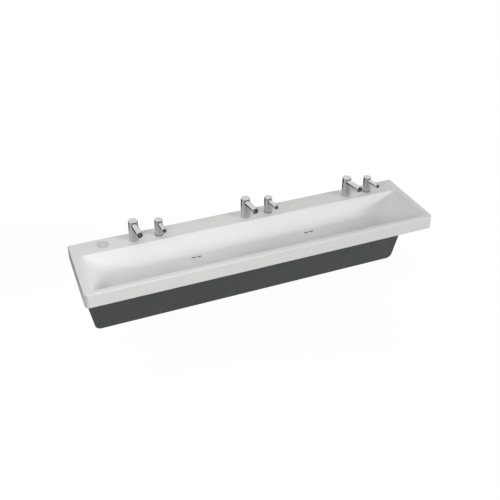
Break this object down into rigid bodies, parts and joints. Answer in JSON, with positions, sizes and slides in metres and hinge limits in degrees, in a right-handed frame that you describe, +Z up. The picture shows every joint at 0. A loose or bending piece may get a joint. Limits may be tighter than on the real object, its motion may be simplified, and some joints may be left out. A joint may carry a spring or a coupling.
{
  "type": "multi-station washbasin",
  "caption": "Wall-hung trough washbasin with sensor taps, soap dispensers, slotted drains and a tapered sheet-steel enclosure with a top-hinged service panel.",
  "frame": {"origin": "centre of the wall anchor holes, on the wall plane behind the basin", "axes": "+X along the basin to the user's right as they face it, +Y into the wall, +Z up; the user stands on the -Y side"},
  "size_m": [2.286, 0.54, 0.6552],
  "materials": {
    "solid_surface": "satin",
    "inlay": "satin",
    "satin_metal": "polished",
    "dark_plastic": "satin",
    "rubber": "matte",
    "bottle_plastic": "satin",
    "chromed_brass": "polished",
    "braid": "woven",
    "brass": "satin",
    "steel": "zinc plated",
    "charcoal_sheet": "powder coated"
  },
  "bodies": {
    "basin_unit": {"basin": "solid_surface", "deck_medallion": "inlay", "tap_body_1": "satin_metal", "tap_body_2": "satin_metal", "tap_body_3": "satin_metal", "tap_spout_1": "satin_metal", "tap_spout_2": "satin_metal", "tap_spout_3": "satin_metal", "tap_caps": "satin_metal", "tap_aerators": "dark_plastic", "sensor_windows": "dark_plastic", "soap_body_1": "satin_metal", "soap_body_2": "satin_metal", "soap_body_3": "satin_metal", "soap_spout_1": "satin_metal", "soap_spout_2": "satin_metal", "soap_spout_3": "satin_metal", "soap_caps": "satin_metal", "soap_base_rings": "rubber", "soap_pump_1": "dark_plastic", "soap_pump_2": "dark_plastic", "soap_pump_3": "dark_plastic", "mounting_nuts": "brass", "mounting_washers": "rubber", "control_box_1": "dark_plastic", "control_box_2": "dark_plastic", "control_box_3": "dark_plastic", "stop_valve_1": "chromed_brass", "stop_valve_2": "chromed_brass", "stop_valve_3": "chromed_brass", "supply_hose_1": "braid", "supply_hose_2": "braid", "supply_hose_3": "braid", "drain_sump_left": "dark_plastic", "drain_sump_right": "dark_plastic", "sump_gaskets": "rubber", "mounting_screws": "steel", "trap_bend_left": "chromed_brass", "trap_bend_right": "chromed_brass", "trap_arm_left": "chromed_brass", "trap_arm_right": "chromed_brass", "slip_nuts": "dark_plastic", "enclosure_header": "charcoal_sheet", "end_panel_left": "charcoal_sheet", "end_panel_right": "charcoal_sheet", "bottom_pan": "charcoal_sheet", "hinge_upper_leaf": "steel", "catch_magnets": "steel", "wall_brackets": "steel"},
    "service_panel": {"front_panel": "charcoal_sheet", "hinge_lower_leaf": "steel"},
    "valve_handle_1": {"stop_handle_1": "chromed_brass"},
    "bottle_1": {"soap_bottle_1": "bottle_plastic"},
    "valve_handle_2": {"stop_handle_2": "chromed_brass"},
    "bottle_2": {"soap_bottle_2": "bottle_plastic"},
    "valve_handle_3": {"stop_handle_3": "chromed_brass"},
    "bottle_3": {"soap_bottle_3": "bottle_plastic"},
    "cover_left": {"drain_cover_left": "solid_surface"},
    "cover_right": {"drain_cover_right": "solid_surface"}
  },
  "joints": [
    {"name": "panel_swing", "type": "hinge", "parent": "basin_unit", "child": "service_panel", "pos_m": [0, -0.26397, 0.02487], "axis": [-1, 0, 0], "range_deg": [0, 85]},
    {"name": "valve_handle_turn_1", "type": "hinge", "parent": "basin_unit", "child": "valve_handle_1", "pos_m": [-0.745, -0.0625, -0.175], "axis": [0, -1, 0], "range_deg": [0, 90]},
    {"name": "valve_handle_turn_2", "type": "hinge", "parent": "basin_unit", "child": "valve_handle_2", "pos_m": [0, -0.0625, -0.175], "axis": [0, -1, 0], "range_deg": [0, 90]},
    {"name": "valve_handle_turn_3", "type": "hinge", "parent": "basin_unit", "child": "valve_handle_3", "pos_m": [0.745, -0.0625, -0.175], "axis": [0, -1, 0], "range_deg": [0, 90]},
    {"name": "bottle_twist_1", "type": "hinge", "parent": "basin_unit", "child": "bottle_1", "pos_m": [-0.584, -0.079, 0.0957], "axis": [0, 0, 1], "range_deg": [0, 60]},
    {"name": "bottle_twist_2", "type": "hinge", "parent": "basin_unit", "child": "bottle_2", "pos_m": [0.161, -0.079, 0.0957], "axis": [0, 0, 1], "range_deg": [0, 60]},
    {"name": "bottle_twist_3", "type": "hinge", "parent": "basin_unit", "child": "bottle_3", "pos_m": [0.906, -0.079, 0.0957], "axis": [0, 0, 1], "range_deg": [0, 60]},
    {"name": "cover_lift_left", "type": "slide", "parent": "basin_unit", "child": "cover_left", "axis": [0, 0, 1], "range_m": [0, 0.03]},
    {"name": "cover_lift_right", "type": "slide", "parent": "basin_unit", "child": "cover_right", "axis": [0, 0, 1], "range_m": [0, 0.03]}
  ]
}
